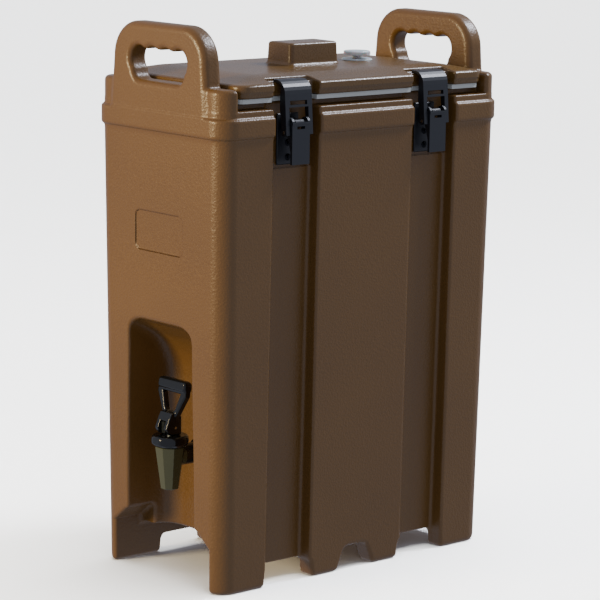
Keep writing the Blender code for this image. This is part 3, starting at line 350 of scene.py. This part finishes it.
def net(shape, low, high, step):
    """Vertices in millimetres and quads of the skin where the distance is nought."""
    axes = [np.arange(low[i], high[i] + step, step) for i in range(3)]
    layers = [
        shape(axes[0][:, None, None], axes[1][None, :, None], part[None, None, :])
        for part in np.array_split(axes[2], max(1, len(axes[2]) // LEVELS_AT_ONCE))
    ]
    plan = (len(axes[0]), len(axes[1]))
    values = np.concatenate([np.broadcast_to(layer, (*plan, layer.shape[2])) for layer in layers], axis=2)
    values = values.astype(np.float32)
    inside = values < 0
    wide, deep, high = [length - 1 for length in inside.shape]
    count = sum(
        inside[i : wide + i, j : deep + j, k : high + k].astype(np.int8) for i, j, k in CORNERS
    )
    cells = np.argwhere((count > 0) & (count < 8))
    number = np.full(count.shape, -1, np.int32)
    number[tuple(cells.T)] = np.arange(len(cells))
    corner_values = np.stack([values[tuple((cells + corner).T)] for corner in CORNERS], axis=1)
    total = np.zeros((len(cells), 3))
    crossings = np.zeros(len(cells))
    for a, b in CELL_EDGES:
        first, second = corner_values[:, a], corner_values[:, b]
        crossed = (first < 0) != (second < 0)
        share = np.where(crossed, first / np.where(crossed, first - second, 1), 0)
        total += crossed[:, None] * (CORNERS[a] + share[:, None] * (CORNERS[b] - CORNERS[a]))
        crossings += crossed
    points = np.array([axis[0] for axis in axes]) + step * (cells + total / crossings[:, None])

    quads = []
    for axis in range(3):
        ahead = [slice(None)] * 3
        behind = [slice(None)] * 3
        ahead[axis] = slice(1, None)
        behind[axis] = slice(None, -1)
        changed = inside[tuple(ahead)] != inside[tuple(behind)]
        edges = np.argwhere(changed)
        u, v = [other for other in range(3) if other != axis]
        edges = edges[(edges[:, u] > 0) & (edges[:, v] > 0)]
        edges = edges[(edges[:, u] < count.shape[u]) & (edges[:, v] < count.shape[v])]
        ring = []
        for step_u, step_v in ((-1, -1), (0, -1), (0, 0), (-1, 0)):
            cell = edges.copy()
            cell[:, u] += step_u
            cell[:, v] += step_v
            ring.append(number[tuple(cell.T)])
        ring = np.stack(ring, axis=1)
        leaving = inside[tuple(edges.T)]
        flip = leaving if axis == 1 else ~leaving
        ring[flip] = ring[flip][:, ::-1]
        quads.append(ring)
    return points, np.concatenate(quads)


def skin(name, shape, low, high, step, body, stands_for, material, faces_kept=1.0):
    """Makes a piece from a distance field, thins its flat stretches and hangs it on a body of the frame."""
    points, quads = net(shape, low, high, step)
    for _ in range(SLIDES):
        points = points - slope(shape, points) * shape(*points.T)[:, None]
    mesh = bpy.data.meshes.new(name)
    mesh.from_pydata((points / 1000).tolist(), [], quads.tolist())
    piece = bpy.data.objects.new(name, mesh)
    bpy.context.scene.collection.objects.link(piece)
    if faces_kept < 1:
        thin = piece.modifiers.new("thin", "DECIMATE")
        thin.ratio = faces_kept
        bpy.context.view_layer.update()
        graph = bpy.context.evaluated_depsgraph_get()
        thinned = bpy.data.meshes.new_from_object(piece.evaluated_get(graph))
        piece.modifiers.clear()
        piece.data = thinned
        bpy.data.meshes.remove(mesh)
    settle_normals(piece, shape)
    finish_piece(piece, body, stands_for, material)
    print(f"{name}: {len(piece.data.vertices)} vertices, {len(piece.data.polygons)} faces")
    return piece


def settle_normals(piece, shape):
    """Shades the piece by the field's own slope, so that thinned flats stay flat and fillets stay round."""
    mesh = piece.data
    mesh.shade_smooth()
    points = np.empty(len(mesh.vertices) * 3)
    mesh.vertices.foreach_get("co", points)
    normals = slope(shape, points.reshape(-1, 3) * 1000)
    mesh.normals_split_custom_set_from_vertices(normals.tolist())


def finish_piece(piece, body, stands_for, material):
    """Gives the piece its finish, its body of the frame, and the frame parts whose place it takes."""
    piece.data.materials.clear()
    piece.data.materials.append(material)
    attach(piece, body)
    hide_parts(*stands_for)


# %% [markdown]
# ## The body
#
# The body is one moulding: walls that lean in towards the feet, a thicker band under the rim, raised end
# blocks with their handles, a recess for the tap, grooves for the latches, a channel and notches that leave
# feet, and the tank inside. The sizes come from the frame's boxes where a part sets them, and the rest are
# this carrier's own.

# %% Sizes of the body, in millimetres
shell_low, shell_high = [corner * 1000 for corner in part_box("body_shell")]
lid_low, lid_high = [corner * 1000 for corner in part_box("lid_shell")]
TOP = shell_high.z
HALF_WIDTH = shell_high.x
HALF_DEPTH = shell_high.y
BAND_LOW, BAND_HIGH, RIM, LIP = 503.0, 525.0, 533.0, 539.8
WALL_IN = 3.3
WALL_DRAFT = 5.8
WALL_CORNER = 21.5
GROOVE_Y = 102.0
GROOVE_HALF = 32.0
WINDOW_SILL = 555.0
END_EXTRA = HALF_DEPTH - HALF_WIDTH
print(f"the body is {2 * HALF_WIDTH:.0f} x {2 * HALF_DEPTH:.0f} mm at its band and {TOP:.0f} mm high")


def wall_half(z):
    """How far the long wall stands from the middle at a height. The end wall stands END_EXTRA further."""
    return HALF_WIDTH - WALL_IN - WALL_DRAFT * (1 - z / BAND_LOW)


def handle_loop(x, y, z):
    """One loop at each end, with four finger hollows in the top of its window."""
    half = 77.5 + (TOP - z) * 0.083
    loop = rounded_rectangle(x, z - (TOP - 80), half, 80, 36)
    loop = both(loop, between(np.abs(y), 183.0, HALF_DEPTH - 1), 8)
    loop = both(loop, BAND_HIGH - 8 - z)
    window = rounded_rectangle(x, z - 573.5, 45.0 + (z - 573.5) * 0.11, 17.5, 11)
    for finger in (-34.5, -11.5, 11.5, 34.5):
        window = either(window, np.hypot(x - finger, z - 579.0) - 14.6, 1.5)
    return without(loop, both(window, WINDOW_SILL - z), 6)


def body_outside(x, y, z):
    """Walls, band, collar, lip, end blocks and handles, before anything is cut."""
    half = wall_half(z)
    walls = both(rounded_rectangle(x, y, half, half + END_EXTRA, WALL_CORNER), between(z, 0, 515), 5)
    band = rounded_rectangle(x, y, HALF_WIDTH, HALF_DEPTH, WALL_CORNER + 3)
    band = both(band, between(z, BAND_LOW, BAND_HIGH), 3)
    footprint = rounded_rectangle(x, y, HALF_WIDTH - 3.5, HALF_DEPTH - 3.5, WALL_CORNER)
    collar = both(footprint, between(z, 500, RIM), 2)
    lip = both(rounded_rectangle(x, y, 95, 190, 6), between(z, 500, LIP), 1.5)
    ends = both(footprint, 183.0 - np.abs(y), 5)
    ends = both(ends, between(z, 500, 556), 5)
    whole = either(either(walls, band, 1.5), either(collar, lip, 1), 2)
    whole = either(whole, ends, 1)
    whole = either(whole, handle_loop(x, y, z), 3)
    # A fillet between nearly level faces swells past both, so the band's outline trims it.
    return both(whole, rounded_rectangle(x, y, HALF_WIDTH, HALF_DEPTH, WALL_CORNER + 3))


def tap_recess(x, y, z):
    """The hollow that the tap stands in, with a sloping roof and round inner corners."""
    half = np.clip(57 + (250 - z) * 5.5 / 150, 57, 62.5)
    front = rounded_rectangle(x, z - 118.5, half, 178.5, 27)
    plan = rounded_rectangle(x, y + 220, 62.5, 80, 35)
    roof = both(0.586 * (y + 140) + 0.810 * (z - 250), y + 140.0, 30)
    return both(both(front, roof, 14), plan, 12)


def under_side(x, y, z):
    """The channel along the base, its flare to the tap's end, and the gaps that leave feet."""
    channel = both(np.abs(x) - 84, z - 43.5, 7)
    flare_half = 84 - np.clip((z - 50) / 18, 0, 1) * 22
    flare = both(both((np.abs(x) - flare_half) * 0.7, z - 68.0, 3), y + 163.0, 6)
    gaps = both(np.abs(np.abs(y) - 100) - 34 + (z - 10) * 0.14, z - 21.0, 5)
    middle = both(np.abs(y) - 22 + (z - 13) * 0.4, z - 27.0, 5)
    feet = both(np.minimum(gaps, middle), 60.0 - np.abs(x))
    return np.minimum(np.minimum(channel, flare), feet)


def latch_grooves(x, y, z):
    """Four upright grooves, shallower above the shelf that the latch sits on."""
    floor = np.where(z > 466.5, 92.5, 88 + 8 * z / 500)
    return both(np.abs(np.abs(y) - GROOVE_Y) - GROOVE_HALF, floor - np.abs(x), 4)


def tank(x, y, z):
    """The hollow for the drink: full length above the tap's recess, and set back behind it below."""
    upper = both(rounded_rectangle(x, y - 1.5, 80, 166.5, 15), 322.0 - z, 8)
    lower = both(rounded_rectangle(x, y - 28, 80, 140, 15), 108.0 - z, 12)
    return np.minimum(upper, lower)


def label_panel(x, y, z):
    """A shallow sunk panel on the front."""
    sunk = y + wall_half(z) + END_EXTRA - 1.3
    return both(rounded_rectangle(x, z - 391.2, 42, 22.2, 8), sunk)


def body_field(x, y, z):
    """The whole body, with the bore for the tap's shank and the port that the foam goes in by."""
    shape = without(body_outside(x, y, z), tap_recess(x, y, z), 4)
    shape = without(shape, under_side(x, y, z), 4)
    shape = without(shape, latch_grooves(x, y, z), 3)
    shape = without(shape, tank(x, y, z), 2)
    shape = without(shape, label_panel(x, y, z), 0.6)
    shank = both(np.hypot(x, z - 137.5) - 11.3, between(y, -150, -100))
    port = both(np.hypot(x, y - 60) - 12, z - 49.0)
    return without(without(shape, shank), port)


# %% Body
BODY_STEP = 2.2
MARGIN = 6.0
skin(
    "moulded_body",
    body_field,
    [value - MARGIN for value in shell_low],
    [value + MARGIN for value in shell_high],
    BODY_STEP,
    "carrier",
    ["body_shell"],
    body_plastic,
    faces_kept=0.32,
)

# %% [markdown]
# ## The lid
#
# The lid is a second moulding. Its top rises gently to a flat panel, with a block in the middle to grip, and
# its edges are notched where the latches reach over. A ledge in each notch takes the latch's hook. The plug
# underneath hangs in the mouth of the tank.

# %% Lid
SLAB_LOW, SLAB_HIGH, PANEL_TOP = lid_low.z + 14.3, 560.0, 567.5


def lid_field(x, y, z):
    """Slab, raised panel, grip block and plug, with the latch notches, their ledges and the vent's hole."""
    slab = both(rounded_rectangle(x, y, lid_high.x, lid_high.y, 12), between(z, SLAB_LOW, SLAB_HIGH), 3)
    rise = np.maximum((z - SLAB_HIGH + 1.5) / 9, 0)
    panel = rounded_rectangle(x, y, 107 - 21 * rise, 176 - 28 * rise, 14) * 0.36
    panel = both(both(panel, z - PANEL_TOP, 6), SLAB_HIGH - 6 - z)
    grip_half = 22 - (z - PANEL_TOP) * 0.04
    grip = both(rounded_rectangle(x, y, grip_half, grip_half + 14, 5), between(z, 550, lid_high.z), 3)
    plug = both(rounded_rectangle(x, y - 1.5, 78.5, 165, 14), between(z, lid_low.z, 550), 3)
    shape = either(either(slab, panel, 5), plug, 1)
    shape = either(shape, grip, 4)
    across = np.abs(np.abs(y) - GROOVE_Y)
    shape = without(shape, both(across - GROOVE_HALF, 97.5 - np.abs(x), 3), 2)
    ledge = both(both(across - 31.5, 90.0 - np.abs(x), 4), SLAB_HIGH - z, 2)
    shape = without(shape, ledge, 2)
    vent = np.hypot(x, y - 83) - 8
    port = both(np.hypot(x, y + 60) - 12, z - 535.0)
    return without(without(shape, vent), port)


LID_STEP = 1.6
skin(
    "moulded_lid",
    lid_field,
    [value - MARGIN for value in lid_low],
    [value + MARGIN for value in lid_high],
    LID_STEP,
    "lid",
    ["lid_shell"],
    lid_plastic,
    faces_kept=0.35,
)

# %% [markdown]
# ## The tap
#
# The spout is an eight-sided cone that stands under a chamfered, eight-sided bonnet. A round shank leads
# from it into the wall, with a shoulder against the washer. The handle is a loop on a forked foot, leaning
# back a little. All its edges are softened, so that each catches a thin line of light.

# %% Tap
TAP_MIDDLE_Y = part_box("tap_bonnet")[0].y * 1000 + 21.5
BONNET_LOW, BONNET_HIGH = [corner.z * 1000 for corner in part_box("tap_bonnet")]
SPOUT_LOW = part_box("tap_body")[0].z * 1000
SPOUT_BACK = 15.5
SHANK_MIDDLE_Z = 137.5
HANDLE_PIN_Z = 172.0
HANDLE_LEAN = math.radians(8)
TAP_STEP = 0.6


def prism(u, v, sides, half):
    """Distance to a regular prism with flats at this half width, measured square to the flats."""
    turns = [math.tau * k / sides for k in range(sides)]
    return np.max([u * math.cos(t) + v * math.sin(t) for t in turns], axis=0) - half


def polygon(u, v, points):
    """Distance to a closed outline, negative inside it."""
    nearest = np.full(np.broadcast(u, v).shape, 1e9)
    inside = np.full(nearest.shape, False)
    for (u0, v0), (u1, v1) in zip(points, points[1:] + points[:1]):
        du, dv = u1 - u0, v1 - v0
        share = np.clip(((u - u0) * du + (v - v0) * dv) / (du * du + dv * dv), 0, 1)
        nearest = np.minimum(nearest, np.hypot(u - u0 - share * du, v - v0 - share * dv))
        if dv:
            crosses = ((v0 <= v) != (v1 <= v)) & (u < u0 + (v - v0) * du / dv)
            inside = inside ^ crosses
    return np.where(inside, -nearest, nearest)


def spout_and_shank(x, y, z):
    """The cone under the bonnet and the shank into the wall, bored right through."""
    v = y - TAP_MIDDLE_Y
    cone = prism(x, v, 8, 9.5 + (z - SPOUT_LOW) * 6.5 / 49) * 0.99
    cone = both(cone, between(z, SPOUT_LOW, 150), 1.2)
    neck = both(np.hypot(x, v) - 13, between(z, 140, 156))
    from_axis = np.hypot(x, z - SHANK_MIDDLE_Z)
    shank = both(from_axis - 11, between(y, TAP_MIDDLE_Y + 5, -98), 1)
    elbow = both(from_axis - 11.8, between(y, TAP_MIDDLE_Y + 5, -149.3))
    shoulder = both(from_axis - 15, between(y, -149.3, -143.3), 1.2)
    shape = either(either(cone, neck), either(either(shank, elbow), shoulder, 0.8), 1.5)
    bore = np.hypot(x, v) - np.where(z > 121, 10.2, 7.5)
    shape = without(shape, both(bore, z - 160), 0.4)
    return without(shape, both(from_axis - 7, -v))


tap_piece = skin(
    "tap_spout",
    spout_and_shank,
    [-18, TAP_MIDDLE_Y - 18, SPOUT_LOW - 2],
    [18, -94, 158],
    TAP_STEP,
    "carrier",
    ["tap_body"],
    spout_painted_reflection_plastic,
    faces_kept=0.6,
)
# The spout is the first finish, with its painted olive reflection, and everything behind it the second.
tap_piece.data.materials.append(tap_plastic)
for face in tap_piece.data.polygons:
    face.material_index = int(face.center.y * 1000 > TAP_MIDDLE_Y + SPOUT_BACK)


def bonnet(x, y, z):
    """An eight-sided ring, chamfered at both ends and hollow below, with the stem's hole in its top."""
    v = y - TAP_MIDDLE_Y
    body = prism(x, v, 8, 20.3)
    body = both(body, np.hypot(x, v) - 21.4, 0.8)
    body = both(body, (np.hypot(x, v) - 17.5 - (z - BONNET_LOW)) * 0.7, 1)
    body = both(body, (np.hypot(x, v) - 18.5 + (z - BONNET_HIGH)) * 0.7, 1)
    body = both(body, between(z, BONNET_LOW, BONNET_HIGH), 1)
    inside = both(np.hypot(x, v) - 13.3, z - BONNET_LOW - 6.3)
    step = both(np.hypot(x, v) - 8, z - BONNET_LOW - 9)
    return without(without(without(body, inside), step), np.hypot(x, v) - 3.4)


skin(
    "tap_bonnet_ring",
    bonnet,
    [-23, TAP_MIDDLE_Y - 23, BONNET_LOW - 1.5],
    [23, TAP_MIDDLE_Y + 23, BONNET_HIGH + 1.5],
    TAP_STEP,
    "carrier",
    ["tap_bonnet"],
    tap_plastic,
    faces_kept=0.6,
)


def cam_outline():
    """The handle's foot from the side: a cam in front, a slanted back and a narrow top."""
    rest = HANDLE_PIN_Z - BONNET_HIGH - 0.3
    points = [(8.0, -rest + 2), (7.0, -rest)]
    for k in range(13):
        angle = math.radians(75) * k / 12
        support = rest + 3.4 * angle
        points.append((
            -math.sin(angle) * support - math.cos(angle) * 3.4,
            -math.cos(angle) * support + math.sin(angle) * 3.4,
        ))
    return points + [(-9.0, 11.0), (-6.0, 17.0), (6.0, 17.0), (8.0, 12.0)]


CAM = cam_outline()


def loop_handle(x, y, z):
    """The forked foot on its pin, and a flat loop with a thicker bar to press."""
    v, w = y - TAP_MIDDLE_Y, z - HANDLE_PIN_Z
    foot = both(polygon(v, w, CAM), np.abs(x) - 10.5, 1.4)
    # The loop and its bar lean back from the pin.
    depth = v * math.cos(HANDLE_LEAN) - w * math.sin(HANDLE_LEAN)
    height = v * math.sin(HANDLE_LEAN) + w * math.cos(HANDLE_LEAN)
    outline = [(-9, 8), (9, 8), (25, 37), (24.5, 49), (20, 54), (-20, 54), (-24.5, 49), (-25, 37)]
    opening = [(-15.5, 39), (-9, 21), (-5, 16.5), (5, 16.5), (9, 21), (15.5, 39)]
    loop = both(polygon(x, height, outline), np.abs(depth) - 4, 2.2)
    loop = without(loop, polygon(x, height, opening), 1.8)
    bar = both(rounded_rectangle(depth, height - 47.25, 6, 6.25, 4.2), np.abs(x) - 24, 3)
    shape = either(either(foot, loop, 1.6), bar, 1)
    slot = both(np.abs(x) - 5, w - 8)
    return without(without(shape, slot, 0.5), np.hypot(v, w) - 1.8)


handle_low, handle_high = [corner * 1000 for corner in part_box("tap_handle")]
skin(
    "tap_loop_handle",
    loop_handle,
    [value - 1.5 for value in handle_low],
    [value + 1.5 for value in handle_high],
    TAP_STEP,
    "tap_handle",
    ["tap_handle"],
    tap_plastic,
    faces_kept=0.6,
)

# %% [markdown]
# ## Finishes on the parts that keep their frame shape
#
# Every other part is already the right shape. Each is given the finish of what it is made of.

# %% Give the remaining parts their finish
FINISHES = {
    "body_foam": foam,
    "lid_foam": foam,
    "body_fill_plug": latch_nylon,
    "lid_fill_plug": latch_nylon,
    "lid_gasket": gasket_rubber,
    "vent_o_ring": gasket_rubber,
    "tap_washer_outer": gasket_rubber,
    "tap_washer_inner": gasket_rubber,
    "vent_cap": vent_plastic,
    "vent_seat": vent_plastic,
    "tap_stem": vent_plastic,
    "tap_seat_cup": silicone,
    "tap_spring": steel,
    "tap_handle_pin": steel,
    "tap_locknut": latch_nylon,
}


def finish_of(node):
    """The finish of one frame part, by its name: the latch pins and rivets are metal, the rest nylon."""
    if node in FINISHES:
        return FINISHES[node]
    # Rivets take the near-black painted shade.
    if "rivet" in node:
        return rivet_steel_painted_dark
    if node.endswith("_pin"):
        return steel
    return latch_nylon


for node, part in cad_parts.items():
    if part.hide_render:
        continue
    part.data.materials.clear()
    part.data.materials.append(finish_of(node))
print("finished", sum(not part.hide_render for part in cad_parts.values()), "frame parts")

# %% [markdown]
# ## Studio
#
# The floor is a plain pale sheet, wide enough to fill the view. A broad overhead light whitens it, and is
# linked to the floor alone, so that the lid keeps its colour. The floor throws nothing back, so that it
# doesn't wash out the dark side. A warm key light stands to the front left: the tap end is bright, the long
# side falls away, and the light's reflection runs down the rounded front corner. A small light behind and
# above draws the bright lines along the edges of the lid and the band. The world is a dim, slightly blue
# glow that fills the shadows.

# %% Floor, lights and world
MIDDLE = Vector((0, 0, size.z / 2))
FLOOR_WIDTH = 80.0
OVERHEAD_STRENGTH = 10.0


def pale_floor():
    """A wide sheet at floor level that is seen, but adds no light to the carrier by itself."""
    bpy.ops.mesh.primitive_plane_add(size=FLOOR_WIDTH)
    floor = bpy.context.object
    floor.name = "floor"
    paper = start_material("pale_paper", Base_Color=hex_colour("f4f4f2"), Roughness=0.9)[0]
    floor.data.materials.append(paper)
    floor.visible_diffuse = False
    floor.visible_glossy = False
    return floor


def soft_light(name, place, width, power, colour):
    """A square softbox that faces the middle of the carrier."""
    light = bpy.data.lights.new(name, "AREA")
    light.shape = "SQUARE"
    light.size = width
    light.energy = power
    light.color = hex_colour(colour)[:3]
    holder = bpy.data.objects.new(name, light)
    holder.location = place
    holder.rotation_euler = (MIDDLE - Vector(place)).to_track_quat("-Z", "Y").to_euler()
    bpy.context.scene.collection.objects.link(holder)


floor = pale_floor()
overhead = bpy.data.lights.new("overhead_softbox", "SUN")
overhead.energy = OVERHEAD_STRENGTH
overhead.angle = math.radians(50)
overhead_holder = bpy.data.objects.new("overhead_softbox", overhead)
overhead_holder.rotation_euler = (math.radians(-9), math.radians(4), 0)
bpy.context.scene.collection.objects.link(overhead_holder)
lit_by_overhead = bpy.data.collections.new("lit_by_overhead_softbox")
lit_by_overhead.objects.link(floor)
overhead_holder.light_linking.receiver_collection = lit_by_overhead
soft_light("key_front_left", (-0.8, -2.5, 0.95), 0.7, 80, "ffe6b4")
soft_light("edge_light_behind", (0.5, 1.6, 2.2), 0.5, 62, "eef2ff")
world = bpy.data.worlds.new("studio")
bpy.context.scene.world = world
world.use_nodes = True
glow = world.node_tree.nodes["Background"]
glow.inputs["Color"].default_value = hex_colour("ccd2e6")
glow.inputs["Strength"].default_value = 0.72
print("lights:", [light.name for light in bpy.data.lights])
